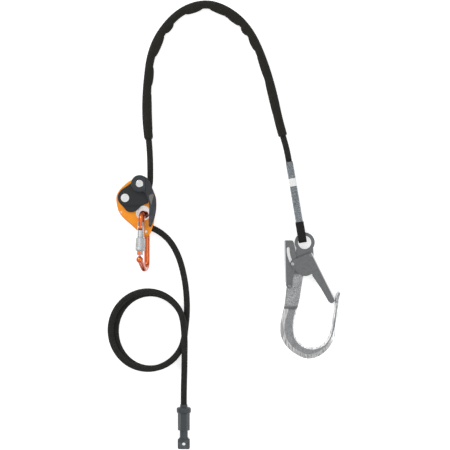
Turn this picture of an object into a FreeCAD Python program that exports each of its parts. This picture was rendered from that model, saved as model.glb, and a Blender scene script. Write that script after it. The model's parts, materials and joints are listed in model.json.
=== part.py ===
import FreeCAD, Part
import math
import os

"""Adjustable work-positioning lanyard: a rope grab with its carabiner, rope, hook and end stop.

Lengths are in millimetres and angles in degrees. The lanyard lies flat on a surface at z = 0, with
the open side of its rope loop towards -Y. The origin is on that surface, under the middle of the
box that holds the rope grab, its carabiner and the hook.
"""

V = FreeCAD.Vector
UP = V(0, 0, 1)

# ---- running clearances ---------------------------------------------------------------------------
PIN_CLEARANCE = 0.05        # radial, between a pin and what turns on it
FACE_GAP = 0.30             # between faces that pass each other

# ---- rope -----------------------------------------------------------------------------------------
ROPE_DIAMETER = 11.0
ROPE_RADIUS = ROPE_DIAMETER / 2
TANGENT_SHARE = 0.45        # of the shorter run, taken by each bend's tangent

# ---- rope grab: places of its axes, from the hub --------------------------------------------------
HUB = V(-159.5, 149.4, 0)
PIVOT_FROM_HUB = V(-26.3, -25.4, 0)
EYE_FROM_HUB = V(6.3, -52.4, 0)
TIP_RIVET_FROM_HUB = V(10.8, -85.4, 0)
SIDE_RIVET_FROM_HUB = V(-33.2, -50.6, 0)
CAM_PIN_FROM_HUB = V(-23.0, -40.6, 0)

# ---- rope grab: layers, from the surface up -------------------------------------------------------
PLATE_THICKNESS = 3.0
PLATE_SPACING = 12.5        # clear height between the two side plates
ARM_THICKNESS = 6.0
ARM_GAP = 0.7               # between each plate and the brake arm's cheek, over the bush's flange
REAR_ARM_BOTTOM = 4.5
REAR_PLATE_BOTTOM = REAR_ARM_BOTTOM + ARM_THICKNESS + ARM_GAP
REAR_PLATE_TOP = REAR_PLATE_BOTTOM + PLATE_THICKNESS
FRONT_PLATE_BOTTOM = REAR_PLATE_TOP + PLATE_SPACING
FRONT_PLATE_TOP = FRONT_PLATE_BOTTOM + PLATE_THICKNESS
FRONT_ARM_BOTTOM = FRONT_PLATE_TOP + ARM_GAP
FRONT_ARM_TOP = FRONT_ARM_BOTTOM + ARM_THICKNESS
HANDLE_BOTTOM = FRONT_ARM_TOP + 0.7
HANDLE_THICKNESS = 8.0
HANDLE_TOP = HANDLE_BOTTOM + HANDLE_THICKNESS
ROPE_LEVEL = REAR_PLATE_TOP + PLATE_SPACING / 2

# ---- rope grab: round pieces ----------------------------------------------------------------------
EYE_BORE_RADIUS = 10.6
BUSH_BARREL_RADIUS = 11.8
BUSH_FLANGE_RADIUS = 13.0
BUSH_FLANGE_HEIGHT = 0.4
WEAR_RING_RADIUS = 13.2
PIVOT_RADIUS = 4.0
PIVOT_HEAD_RADIUS = 7.4
PIVOT_HEAD_HEIGHT = 1.6
HUB_AXLE_RADIUS = 4.0
HANDLE_SPRING_RADIUS = 10.0
HANDLE_SPRING_WIRE = 1.8
HANDLE_SPRING_ARC = 320     # degrees of the open wire ring under the handle
HUB_HEAD_RADIUS = 6.7
HUB_HEAD_HEIGHT = 1.6
HUB_DISC_RADIUS = 15.3
BOBBIN_RADIUS = 8.0
RIVET_RADIUS = 2.2
SPACER_RADIUS = 3.6
CAM_PIN_RADIUS = 2.6
CAM_PIN_SEAT = 3.0          # depth of the pin's socket in each cheek of the brake arm
BRAKE_TRAVEL = 6.0          # degrees that the brake arm opens from the rope

# ---- carabiner: u runs from the device end, v from the spine's outside, w across --------------------
CARABINER_LENGTH = 110.0
CARABINER_BAR_RADIUS = 5.0
CARABINER_TILT = 12.5       # lean of its plane from upright
CARABINER_SPINE_X = -148.1
CARABINER_EYE_SLACK = 4.4   # its end stands this far past the eye's middle
GATE_PIN_U = 30.3
GATE_PIN_V = 46.0
NOSE_U = 87.3
GATE_SLOPE = 8.5
GATE_RADIUS = 6.0
GATE_TAIL = 9.5
GATE_REACH = 49.4
GATE_PIN_RADIUS = 1.5
GATE_BORE_RADIUS = 2.4
TONGUE_WIDTH = 6.8
NOSE_WIDTH = 5.8
NOSE_NECK_WIDTH = 2.7
LOCK_RADIUS = 8.7
LOCK_START = 19.2
LOCK_LENGTH = 22.5

# ---- hook: places from the middle of its eye ------------------------------------------------------
HOOK_EYE = V(136.1, 44.3, 0)
HOOK_THICKNESS = 24.0
HOOK_MIDDLE = HOOK_THICKNESS / 2
SHANK_THICKNESS = 9.0
HOOK_EYE_RADIUS = 11.9
HOOK_EYE_RIM = 18.0
GATE_PIVOT = V(10.4, -23.4, 0)
DRIVE_PIN = V(-21.8, -38.7, 0)
LEVER_PIVOT = V(-27.2, -78.7, 0)
HOOK_PIN_RADIUS = 2.4
DRIVE_PIN_RADIUS = 2.0
HOOK_HEAD_RADIUS = 3.0
HOOK_HEAD_HEIGHT = 1.2
LEVER_INSIDE = SHANK_THICKNESS / 2 + FACE_GAP
LEVER_THICKNESS = 2.0
LEVER_OUTSIDE = LEVER_INSIDE + LEVER_THICKNESS
CHANNEL_INSIDE = LEVER_OUTSIDE + FACE_GAP
CHANNEL_THICKNESS = 2.2
CHANNEL_OUTSIDE = CHANNEL_INSIDE + CHANNEL_THICKNESS
HOOK_GATE_TRAVEL = 36.0     # degrees
LEVER_SLOT_TRAVEL = 45.0    # degrees of the gate that the lever's slot has room for
LEVER_SLOT_SLACK = 0.8
LEVER_RATIO = 0.12          # degrees of the lever for each degree of the gate
STEP_BELOW_EYE = 119.0      # where the thin shank meets the thick curve

# ---- splice and eye loop, measured along the rope from the start of the splice ---------------------
SPLICE_START = V(108.4, 189.0, 0)
SPLICE_HEADING = -80.4      # degrees from +X
SPLICE_LENGTH = 109.3
SPLICE_HEIGHT = 24.0
SPLICE_WIDTH = 12.0
SHRINK_WALL = 0.8
EYE_LOOP_LENGTH = 147.2
EYE_LOOP_WIDTH = 14.0
EYE_LOOP_LEG = 7.2
LABEL_START = 30.0
LABEL_LENGTH = 14.5

# ---- protective sleeve and end stop ---------------------------------------------------------------
SLEEVE_RADIUS = 9.6
SLEEVE_WALL = 2.6
END_STOP_START = V(-81.4, -247.5, 13.0)
END_STOP_HOLE_RADIUS = 3.0
TAB_THICKNESS = 8.0

# ---- coil of two turns ----------------------------------------------------------------------------
COIL_CENTRE = V(-145.0, -113.9, 0)
COIL_OUTER_RADIUS = 75.5
COIL_INNER_RADIUS = 57.0

# ---- routes of the rope ---------------------------------------------------------------------------
ROPE_PARTING = V(-141.3, 161.0, ROPE_LEVEL)
TO_HOOK = [
    ROPE_PARTING, V(-141.3, 181.0, ROPE_LEVEL), V(-142.6, 208.0, 12.4), V(-145.0, 234.0, 9.8),
    V(-148.0, 266.0, 9.8), V(-148.4, 303.0, 9.8), V(-146.0, 340.0, 9.8), V(-141.4, 375.0, 9.8),
    V(-130.6, 407.0, 9.8), V(-112.0, 435.0, 9.8), V(-90.0, 457.0, 9.8), V(-63.0, 470.6, 9.8),
    V(-35.0, 473.2, 9.8), V(-8.0, 464.0, 9.8), V(18.0, 446.0, 9.8), V(39.0, 421.0, 9.8),
    V(54.0, 390.0, 9.8), V(68.0, 350.0, 9.8), V(80.6, 305.0, 9.8), V(89.0, 266.0, 9.8),
    V(97.4, 235.0, 9.8), V(104.7, 210.7, 6.4), V(108.4, 189.0, 6.4),
]
SLEEVE_FIRST_BEND = 3
SLEEVE_LAST_BEND = 20
TO_COIL = [
    ROPE_PARTING, V(-141.3, 142.6, ROPE_LEVEL), V(-157.6, 120.6, ROPE_LEVEL),
    V(-172.5, 104.3, ROPE_LEVEL), V(-173.2, 92.0, ROPE_LEVEL), V(-166.8, 81.6, ROPE_LEVEL),
    V(-150.0, 75.4, ROPE_LEVEL), V(-124.5, 64.2, 19.0), V(-104.5, 46.0, 14.0), V(-89.5, 17.0, 8.0),
    V(-80.5, -18.0, 5.6), V(-76.4, -50.0, 5.5), V(-75.6, -80.0, 5.5), V(-77.6, -104.0, 5.5),
]
TO_END_STOP = [
    V(-79.3, -122.0, 16.4), V(-79.7, -150.0, 15.2), V(-80.2, -177.0, 9.6), V(-81.0, -204.0, 8.6),
    V(-81.4, -227.0, 13.0), END_STOP_START,
]


# ---- shapes that repeat ---------------------------------------------------------------------------
def near(centre, offset):
    """The point at an offset from a centre."""
    return V(centre.x + offset[0], centre.y + offset[1], 0)


def disc(centre, radius, bottom, top):
    """Upright cylinder."""
    return Part.makeCylinder(radius, top - bottom, V(centre.x, centre.y, bottom))


def ring(centre, outer, inner, bottom, top):
    """Upright tube."""
    return disc(centre, outer, bottom, top).cut(disc(centre, inner, bottom, top))


def outline(centre, start, *steps):
    """Closed face: a step is a point for a straight edge, or a list of points for a smooth curve."""
    first = near(centre, start)
    here = first
    edges = []
    for step in steps:
        if isinstance(step, list):
            places = [near(centre, offset) for offset in step]
            curve = Part.BSplineCurve()
            curve.interpolate([here] + places)
            edges.append(curve.toShape())
            here = places[-1]
        else:
            there = near(centre, step)
            edges.append(Part.LineSegment(here, there).toShape())
            here = there
    if here.distanceToPoint(first) > 0.001:
        edges.append(Part.LineSegment(here, first).toShape())
    return Part.Face(Part.Wire(edges))


def smooth_face(centre, offsets):
    """Face inside one smooth closed curve."""
    curve = Part.BSplineCurve()
    curve.interpolate([near(centre, offset) for offset in offsets], PeriodicFlag=True)
    return Part.Face(Part.Wire([curve.toShape()]))


def slab(face, bottom, top):
    """A face of the z = 0 plane, thickened between two heights."""
    low = face.copy()
    low.translate(V(0, 0, bottom))
    return low.extrude(V(0, 0, top - bottom))


def rounded(shape, radius, height):
    """The shape with the edges that lie flat at a height rounded."""
    flat = [e for e in shape.Edges
            if abs(e.BoundBox.ZMin - height) < 0.01 and abs(e.BoundBox.ZMax - height) < 0.01]
    return shape.makeFillet(radius, flat)


def turned(point, centre, degrees):
    """A point turned about an upright axis."""
    angle = math.radians(degrees)
    dx = point.x - centre.x
    dy = point.y - centre.y
    return V(centre.x + dx * math.cos(angle) - dy * math.sin(angle),
             centre.y + dx * math.sin(angle) + dy * math.cos(angle), 0)


def swept_hole(centre, pivot, radius, degrees, bottom, top):
    """Clearance hole for a pin that swings about a pivot."""
    middle = turned(centre, pivot, degrees / 2)
    reach = middle.distanceToPoint(centre) + radius + FACE_GAP
    return disc(middle, reach, bottom, top)


def spring(centre, radius, wire, bottom, top, turns):
    """Upright coil spring with open ends."""
    height = top - bottom - wire
    coil = Part.makeHelix(height / turns, height, radius)
    section = Part.Wire([Part.makeCircle(wire / 2, V(radius, 0, 0), V(0, 1, 0))])
    shape = Part.Wire(coil.Edges).makePipeShell([section], True, True)
    shape.translate(V(centre.x, centre.y, bottom + wire / 2))
    return shape


# ---- rope -----------------------------------------------------------------------------------------
def bend(before, corner, after):
    """Tangent length, radius and the arc's three points at one corner of a route."""
    back = before - corner
    ahead = after - corner
    half_turn = (math.pi - back.getAngle(ahead)) / 2
    tangent = TANGENT_SHARE * min(back.Length, ahead.Length)
    radius = tangent / math.tan(half_turn)
    back.normalize()
    ahead.normalize()
    inward = back + ahead
    inward.normalize()
    rise = radius / math.cos(half_turn) - radius
    return radius, [corner + back * tangent, corner + inward * rise, corner + ahead * tangent]


def route_edges(points):
    """Straight runs joined by tangent arcs."""
    edges = []
    radii = []
    here = points[0]
    for before, corner, after in zip(points, points[1:], points[2:]):
        radius, arc = bend(before, corner, after)
        radii.append(round(radius))
        edges.append(Part.LineSegment(here, arc[0]).toShape())
        edges.append(Part.Arc(*arc).toShape())
        here = arc[2]
    edges.append(Part.LineSegment(here, points[-1]).toShape())
    return edges, radii


def tube(edges, radius):
    """Solid round tube along a route."""
    start = edges[0].valueAt(edges[0].FirstParameter)
    heading = edges[0].tangentAt(edges[0].FirstParameter)
    section = Part.Wire([Part.makeCircle(radius, start, heading)])
    return Part.Wire(edges).makePipeShell([section], True, False)


def report_tube(name, edges, radii, shape, radius):
    """Say how a tube compares with its section times its length."""
    length = sum(edge.Length for edge in edges)
    share = shape.Volume / (math.pi * radius ** 2 * length)
    print(f"{name}: length {length:.0f}, radii {radii}, volume share {share:.4f}")


def rope_pieces():
    """Rope, sleeve, splice, eye loop, coil and end stop."""
    parts = {}
    edges, radii = route_edges(TO_HOOK)
    parts["rope_to_hook"] = tube(edges, ROPE_RADIUS)
    report_tube("rope_to_hook", edges, radii, parts["rope_to_hook"], ROPE_RADIUS)
    covered = edges[2 * SLEEVE_FIRST_BEND:2 * SLEEVE_LAST_BEND - 1]
    hollow = tube(covered, SLEEVE_RADIUS - SLEEVE_WALL)
    parts["protective_sleeve"] = tube(covered, SLEEVE_RADIUS).cut(hollow)

    edges, radii = route_edges(TO_COIL)
    parts["rope_to_coil"] = tube(edges, ROPE_RADIUS)
    report_tube("rope_to_coil", edges, radii, parts["rope_to_coil"], ROPE_RADIUS)
    edges, radii = route_edges(TO_END_STOP)
    parts["rope_to_end_stop"] = tube(edges, ROPE_RADIUS)
    report_tube("rope_to_end_stop", edges, radii, parts["rope_to_end_stop"], ROPE_RADIUS)

    coil = ring(COIL_CENTRE, COIL_OUTER_RADIUS, COIL_INNER_RADIUS, 0, 2 * ROPE_DIAMETER)
    parts["rope_coil"] = coil.makeFillet(ROPE_RADIUS - 0.3, [e for e in coil.Edges if len(e.Vertexes) == 1])
    parts.update(splice_pieces())
    parts["end_stop"] = end_stop()
    return parts


def along_splice(shape):
    """Moves a shape built along +X, in the plane y = 0, onto the line of the splice."""
    shape.rotate(V(0, 0, 0), UP, SPLICE_HEADING)
    shape.translate(SPLICE_START)
    return shape


def stadium_bar(width, height, start, end, middle):
    """Bar along +X with a stadium section, its long side upright."""
    radius = width / 2
    rise = height / 2 - radius
    core = Part.makeBox(end - start, width, 2 * rise, V(start, -radius, middle - rise))
    for level in (middle - rise, middle + rise):
        core = core.fuse(Part.makeCylinder(radius, end - start, V(start, 0, level), V(1, 0, 0)))
    return core.removeSplitter()


def splice_pieces():
    """Two strands sewn together, the clear tube shrunk over them, the label and the eye loop."""
    middle = SPLICE_HEIGHT / 2
    inner_width = SPLICE_WIDTH
    inner_height = SPLICE_HEIGHT - 2 * SHRINK_WALL
    outer_width = inner_width + 2 * SHRINK_WALL
    core = stadium_bar(inner_width, inner_height, 0, SPLICE_LENGTH, middle)
    outer = stadium_bar(outer_width, SPLICE_HEIGHT, 0, SPLICE_LENGTH, middle)
    wrap = stadium_bar(outer_width + 0.8, SPLICE_HEIGHT + 0.8, LABEL_START, LABEL_START + LABEL_LENGTH,
                       middle)
    below = Part.makeBox(SPLICE_LENGTH, 4 * outer_width, middle, V(0, -2 * outer_width, -2))
    label = wrap.cut(stadium_bar(outer_width, SPLICE_HEIGHT, 0, SPLICE_LENGTH, middle)).cut(below)

    half = EYE_LOOP_WIDTH / 2
    tip = ROPE_RADIUS
    band_length = EYE_LOOP_LENGTH - tip - SPLICE_LENGTH
    band = Part.makeBox(band_length, 2 * half, SPLICE_HEIGHT, V(SPLICE_LENGTH, -half, 0))
    nose = Part.makeBox(tip, 2 * half, SPLICE_HEIGHT, V(EYE_LOOP_LENGTH - tip, -half, 0))
    loop = band.fuse(nose).removeSplitter()
    rims = [e for e in loop.Edges if e.Length > 2 * half - 0.1 and abs(e.tangentAt(0).y) > 0.9
            and e.CenterOfMass.x > EYE_LOOP_LENGTH - 1]
    loop = loop.makeFillet(9.0, rims)
    slot_start = SPLICE_LENGTH + 8.0
    slot_end = EYE_LOOP_LENGTH - 2 * ROPE_RADIUS
    slot_height = SPLICE_HEIGHT - 2 * EYE_LOOP_LEG
    slot_floor = HOOK_MIDDLE - slot_height / 2
    slot = Part.makeBox(slot_end - slot_start, 4 * half, slot_height, V(slot_start, -2 * half, slot_floor))
    loop = along_splice(loop.cut(slot))
    rim_room = ring(HOOK_EYE, HOOK_EYE_RIM + 3 * FACE_GAP, HOOK_EYE_RADIUS - FACE_GAP,
                    slot_floor, slot_floor + slot_height)
    loop = loop.cut(rim_room)
    clear = along_splice(outer.cut(core))
    return {"splice_core": along_splice(core), "shrink_tube": clear, "splice_label": along_splice(label),
            "eye_loop": max(loop.Solids, key=lambda s: s.Volume)}


def end_stop():
    """Moulded stop: collar, round flange, six-sided grip, neck and flat tab with a hole."""
    def turned_bar(radius, start, end):
        return Part.makeCylinder(radius, end - start, V(start, 0, 0), V(1, 0, 0))

    grip_radius = 10.7
    collar = turned_bar(6.75, 0, 5.5)
    flange = turned_bar(13.0, 4.9, 15.4)
    flange = flange.makeFillet(3.2, [e for e in flange.Edges if e.Length > 20 and e.CenterOfMass.x > 0
                                     and isinstance(e.Curve, Part.Circle)])
    corners = []
    for side in range(7):
        angle = math.radians(60 * side)
        corners.append(V(15.0, grip_radius * math.cos(angle), grip_radius * math.sin(angle)))
    grip = Part.Face(Part.makePolygon(corners)).extrude(V(31.3, 0, 0))
    taper = Part.makeCone(12.0, 7.2, 5.2, V(44.3, 0, 0), V(1, 0, 0))
    barrel = Part.makeCylinder(12.0, 29.3, V(15.0, 0, 0), V(1, 0, 0)).fuse(taper)
    grip = grip.common(barrel)
    neck = turned_bar(7.2, 45.0, 61.0)
    half = 10.9
    tab = Part.makeBox(17.6, 2 * half, TAB_THICKNESS, V(62.3, -half, -TAB_THICKNESS / 2))
    tab = tab.makeFillet(2.5, [e for e in tab.Edges if abs(e.tangentAt(0).z) > 0.9])
    flare_corners = [V(58.5, -6.5, 0), V(58.5, 6.5, 0), V(63.0, half, 0), V(63.0, -half, 0)]
    flare = Part.Face(Part.makePolygon(flare_corners + flare_corners[:1]))
    flare.translate(V(0, 0, -TAB_THICKNESS / 2))
    flare = flare.extrude(V(0, 0, TAB_THICKNESS))
    shape = collar.fuse([flange, grip, neck, tab, flare]).removeSplitter()
    shape = shape.cut(Part.makeCylinder(END_STOP_HOLE_RADIUS, 2 * TAB_THICKNESS, V(71.1, 0, -TAB_THICKNESS)))
    shape.rotate(V(0, 0, 0), UP, -90)
    shape.translate(END_STOP_START)
    return shape


# ---- rope grab ------------------------------------------------------------------------------------
PLATE_OUTLINE = [
    (5.0, 11.5), (-6.0, 10.6), (-15.5, 6.8), (-23.0, 2.2), (-31.0, -4.9), (-38.0, -12.9), (-41.8, -21.5),
    (-42.3, -30.0), (-39.6, -43.5), (-32.2, -56.6), (-16.7, -70.6), (-6.3, -80.4), (2.5, -89.2),
    (8.5, -93.0), (14.5, -92.4), (19.0, -87.2), (22.8, -77.5), (25.6, -66.0), (27.2, -52.0),
    (25.5, -36.0), (20.0, -20.0), (15.6, -6.0), (12.0, 6.0),
]


def side_plate(bottom, top, rim):
    """One orange side plate; rim sets its lower edge further out."""
    shifted = [(x - rim / 2, y - rim) if y < -43 else (x, y) for x, y in PLATE_OUTLINE]
    plate = rounded(slab(smooth_face(HUB, shifted), bottom, top), 0.7, top)
    pivot = near(HUB, PIVOT_FROM_HUB)
    holes = [
        disc(near(HUB, EYE_FROM_HUB), BUSH_BARREL_RADIUS, bottom - 1, top + 1),
        disc(pivot, PIVOT_RADIUS, bottom - 1, top + 1),
        disc(near(HUB, TIP_RIVET_FROM_HUB), RIVET_RADIUS - 0.8, bottom - 1, top + 1),
        disc(near(HUB, SIDE_RIVET_FROM_HUB), RIVET_RADIUS - 0.8, bottom - 1, top + 1),
        swept_hole(HUB, pivot, HUB_AXLE_RADIUS, -BRAKE_TRAVEL, bottom - 1, top + 1),
        swept_hole(near(HUB, CAM_PIN_FROM_HUB), pivot, CAM_PIN_RADIUS, -BRAKE_TRAVEL, bottom - 1, top + 1),
    ]
    return plate.cut(holes)


def bush():
    """Eye bush: a barrel through both plates with a thin flange on each face."""
    eye = near(HUB, EYE_FROM_HUB)
    low = REAR_PLATE_BOTTOM - BUSH_FLANGE_HEIGHT
    high = FRONT_PLATE_TOP + BUSH_FLANGE_HEIGHT
    barrel = disc(eye, BUSH_BARREL_RADIUS, low, high)
    shape = barrel.fuse([disc(eye, BUSH_FLANGE_RADIUS, low, REAR_PLATE_BOTTOM),
                         disc(eye, BUSH_FLANGE_RADIUS, FRONT_PLATE_TOP, high)])
    return shape.removeSplitter().cut(disc(eye, EYE_BORE_RADIUS, low - 1, high + 1))


def riveted_bar(centre, radius, bottom, top, head_radius, head_height):
    """Rivet whose heads lie outside the heights given."""
    heads = [disc(centre, head_radius, bottom - head_height, bottom),
             disc(centre, head_radius, top, top + head_height)]
    return disc(centre, radius, bottom - head_height, top + head_height).fuse(heads).removeSplitter()


def grab_frame():
    """Side plates with the bush, axle, rivets and spacers that hold them together."""
    pivot = near(HUB, PIVOT_FROM_HUB)
    eye = near(HUB, EYE_FROM_HUB)
    tip = near(HUB, TIP_RIVET_FROM_HUB)
    side = near(HUB, SIDE_RIVET_FROM_HUB)
    low = REAR_PLATE_TOP
    high = FRONT_PLATE_BOTTOM
    tip_rivet = riveted_bar(tip, RIVET_RADIUS - 0.8, REAR_PLATE_BOTTOM, FRONT_PLATE_TOP, RIVET_RADIUS, 0.7)
    side_rivet = disc(side, RIVET_RADIUS - 0.8, REAR_PLATE_BOTTOM, FRONT_PLATE_TOP)
    spacers = [ring(tip, RIVET_RADIUS + 0.2, RIVET_RADIUS - 0.75, low, high),
               ring(side, SPACER_RADIUS, RIVET_RADIUS - 0.75, low, high)]
    pivot_rivet = riveted_bar(pivot, PIVOT_RADIUS, REAR_ARM_BOTTOM, FRONT_ARM_TOP, PIVOT_HEAD_RADIUS,
                              PIVOT_HEAD_HEIGHT)
    pivot_rivet = pivot_rivet.cut(disc(pivot, 3.8, FRONT_ARM_TOP + 1.0, FRONT_ARM_TOP + 3))
    return {
        "rear_plate": side_plate(REAR_PLATE_BOTTOM, REAR_PLATE_TOP, 1.8),
        "front_plate": side_plate(FRONT_PLATE_BOTTOM, FRONT_PLATE_TOP, 0.0),
        "eye_bush": bush(),
        "wear_ring": ring(eye, WEAR_RING_RADIUS, BUSH_BARREL_RADIUS + PIN_CLEARANCE, low, high),
        "pivot_rivet": pivot_rivet,
        "plate_rivets": Part.Compound([tip_rivet, side_rivet]),
        "plate_spacers": Part.Compound(spacers),
    }


ARM_OUTLINE = [
    (-16.7, 0.5), (-28.1, -7.6), [(-36.0, -14.4), (-39.4, -22.5), (-38.5, -30.4), (-33.8, -36.7)],
    (-26.5, -44.8), [(-23.4, -48.6), (-16.7, -50.9), (-8.2, -49.2), (-3.6, -46.2)], (2.4, -40.3),
    (14.0, -34.6), [(15.0, -27.0), (12.6, -19.0), (13.4, -6.0)],
]


def brake_arm(bottom, top):
    """One cheek of the brake arm, bored for the pivot, the hub axle and the cam rivet."""
    pivot = near(HUB, PIVOT_FROM_HUB)
    cheek = slab(outline(HUB, *ARM_OUTLINE), bottom, top).fuse(disc(HUB, 14.2, bottom, top)).removeSplitter()
    return cheek.cut([disc(pivot, PIVOT_RADIUS + PIN_CLEARANCE, bottom - 1, top + 1),
                      disc(HUB, HUB_AXLE_RADIUS + PIN_CLEARANCE, bottom - 1, top + 1)])


def brake_pieces():
    """Brake arm: two cheeks outside the plates, with the bobbin and the cam between them."""
    pivot = near(HUB, PIVOT_FROM_HUB)
    cam_pin = near(HUB, CAM_PIN_FROM_HUB)
    low = REAR_PLATE_TOP + FACE_GAP
    high = FRONT_PLATE_BOTTOM - FACE_GAP
    middle = (low + high) / 2
    front = rounded(brake_arm(FRONT_ARM_BOTTOM, FRONT_ARM_TOP), 1.0, FRONT_ARM_TOP)
    groove_curve = outline(HUB, (-36.0, -33.5), [(-27.0, -37.5), (-12.0, -38.8), (4.0, -37.2)], (4.0, -40.6),
                           [(-12.0, -42.4), (-25.0, -41.4), (-34.0, -38.0)])
    front = front.cut(slab(groove_curve, FRONT_ARM_TOP - 2.0, FRONT_ARM_TOP + 1))
    rear = brake_arm(REAR_ARM_BOTTOM, REAR_ARM_BOTTOM + ARM_THICKNESS)
    socket_front = disc(cam_pin, CAM_PIN_RADIUS, FRONT_ARM_BOTTOM - 1, FRONT_ARM_BOTTOM + CAM_PIN_SEAT)
    rear_top = REAR_ARM_BOTTOM + ARM_THICKNESS
    socket_rear = disc(cam_pin, CAM_PIN_RADIUS, rear_top - CAM_PIN_SEAT, rear_top + 1)
    lobe_centre = near(HUB, (-23.0, -45.0))
    cam = disc(pivot, 7.6, low, high).fuse(disc(lobe_centre, 4.6, low, high))
    sides = outline(pivot, (-7.4, -1.6), (-1.2, -20.5), (7.8, -18.6), (7.4, 1.6))
    cam = cam.fuse(slab(sides, low, high)).removeSplitter()
    cam = cam.cut([disc(pivot, PIVOT_RADIUS + PIN_CLEARANCE, low - 1, high + 1),
                   disc(cam_pin, CAM_PIN_RADIUS, low - 1, high + 1)])
    waist = Part.makePolygon([V(HUB_AXLE_RADIUS + PIN_CLEARANCE, 0, low), V(BOBBIN_RADIUS + 1.2, 0, low),
                              V(BOBBIN_RADIUS, 0, middle - 3), V(BOBBIN_RADIUS, 0, middle + 3),
                              V(BOBBIN_RADIUS + 1.2, 0, high), V(HUB_AXLE_RADIUS + PIN_CLEARANCE, 0, high),
                              V(HUB_AXLE_RADIUS + PIN_CLEARANCE, 0, low)])
    bobbin = Part.Face(waist).revolve(V(0, 0, 0), UP, 360)
    bobbin.translate(HUB)
    axle = riveted_bar(HUB, HUB_AXLE_RADIUS, REAR_ARM_BOTTOM, HANDLE_TOP, HUB_HEAD_RADIUS, HUB_HEAD_HEIGHT)
    axle = rounded(axle, 0.9, HANDLE_TOP + HUB_HEAD_HEIGHT)
    for lobe in range(6):
        angle = 60 * lobe
        petal = turned(near(HUB, (2.9, 0)), HUB, angle)
        axle = axle.cut(disc(petal, 1.0, HANDLE_TOP + 0.2, HANDLE_TOP + 3))
    axle = axle.cut(disc(HUB, 2.5, HANDLE_TOP + 0.2, HANDLE_TOP + 3))
    return {
        "front_arm": front.cut(socket_front),
        "rear_arm": rear.cut(socket_rear),
        "cam": cam,
        "cam_pin": disc(cam_pin, CAM_PIN_RADIUS, rear_top - CAM_PIN_SEAT,
                        FRONT_ARM_BOTTOM + CAM_PIN_SEAT),
        "friction_bobbin": bobbin,
        "hub_axle": axle,
    }


HANDLE_OUTLINE = [
    (5.0, 14.0), [(13.7, 9.6), (20.5, -2.6), (25.4, -14.6), (28.8, -24.0), (30.0, -36.0), (29.2, -49.0),
                  (25.4, -65.0), (20.8, -75.6)],
    [(19.0, -77.2), (17.4, -76.4), (16.4, -73.0)],
    [(16.6, -58.0), (17.2, -46.0), (16.8, -36.0), (14.4, -25.5), (9.0, -15.5), (4.0, -14.0)],
]
INSERT_OUTLINE = [(17.0, -22.5), (20.6, -19.0), (24.6, -18.6), (23.6, -28.0), (20.6, -37.4), (18.6, -31.0)]


def handle_pieces():
    """Release handle with its grip insert, and the return spring under its hub disc."""
    lever = slab(outline(HUB, *HANDLE_OUTLINE), HANDLE_BOTTOM, HANDLE_TOP - 0.6)
    hub_disc = rounded(disc(HUB, HUB_DISC_RADIUS, HANDLE_BOTTOM, HANDLE_TOP), 1.4, HANDLE_TOP)
    body = hub_disc.fuse(lever).removeSplitter()
    groove = Part.makeBox(1.0, 34.0, 3.0, near(HUB, (10.0, -22.0)) + V(0, 0, HANDLE_TOP - 1.6))
    pocket = slab(smooth_face(HUB, INSERT_OUTLINE), HANDLE_TOP - 1.8, HANDLE_TOP + 1)
    insert = slab(smooth_face(HUB, INSERT_OUTLINE), HANDLE_TOP - 1.8, HANDLE_TOP - 0.9)
    spring_room = ring(HUB, HANDLE_SPRING_RADIUS + 1.6, HANDLE_SPRING_RADIUS - 1.6, HANDLE_BOTTOM - 1,
                       HANDLE_BOTTOM + 3.0)
    bore = disc(HUB, HUB_AXLE_RADIUS + PIN_CLEARANCE, HANDLE_BOTTOM - 1, HANDLE_TOP + 1)
    body = body.cut([bore, groove, pocket, spring_room])
    wire = Part.makeTorus(HANDLE_SPRING_RADIUS, HANDLE_SPRING_WIRE / 2,
                          HUB + V(0, 0, HANDLE_BOTTOM + HANDLE_SPRING_WIRE / 2 + 0.2), UP, -180, 180,
                          HANDLE_SPRING_ARC)
    return {
        "release_handle": body,
        "handle_insert": insert,
        "handle_spring": wire,
    }


# ---- carabiner ------------------------------------------------------------------------------------
def stand_carabiner(shape):
    """Moves a shape from the carabiner's own u, v, w axes to where the carabiner stands."""
    lean = math.radians(CARABINER_TILT)
    eye = near(HUB, EYE_FROM_HUB)
    side = math.sin(lean)
    rise = math.cos(lean)
    spine_height = CARABINER_BAR_RADIUS + 0.06
    origin = V(CARABINER_SPINE_X + CARABINER_BAR_RADIUS * side, eye.y + CARABINER_EYE_SLACK,
               spine_height - CARABINER_BAR_RADIUS * rise)
    matrix = FreeCAD.Matrix(0, -side, -rise, origin.x,
                            -1, 0, 0, origin.y,
                            0, rise, -side, origin.z,
                            0, 0, 0, 1)
    shape.Placement = FreeCAD.Placement(matrix).multiply(shape.Placement)
    return shape


def on_gate(shape):
    """Moves a shape built along +X from the gate's pin into the carabiner's own axes."""
    shape.rotate(V(0, 0, 0), UP, GATE_SLOPE)
    shape.translate(V(GATE_PIN_U, GATE_PIN_V, 0))
    return shape


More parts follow.
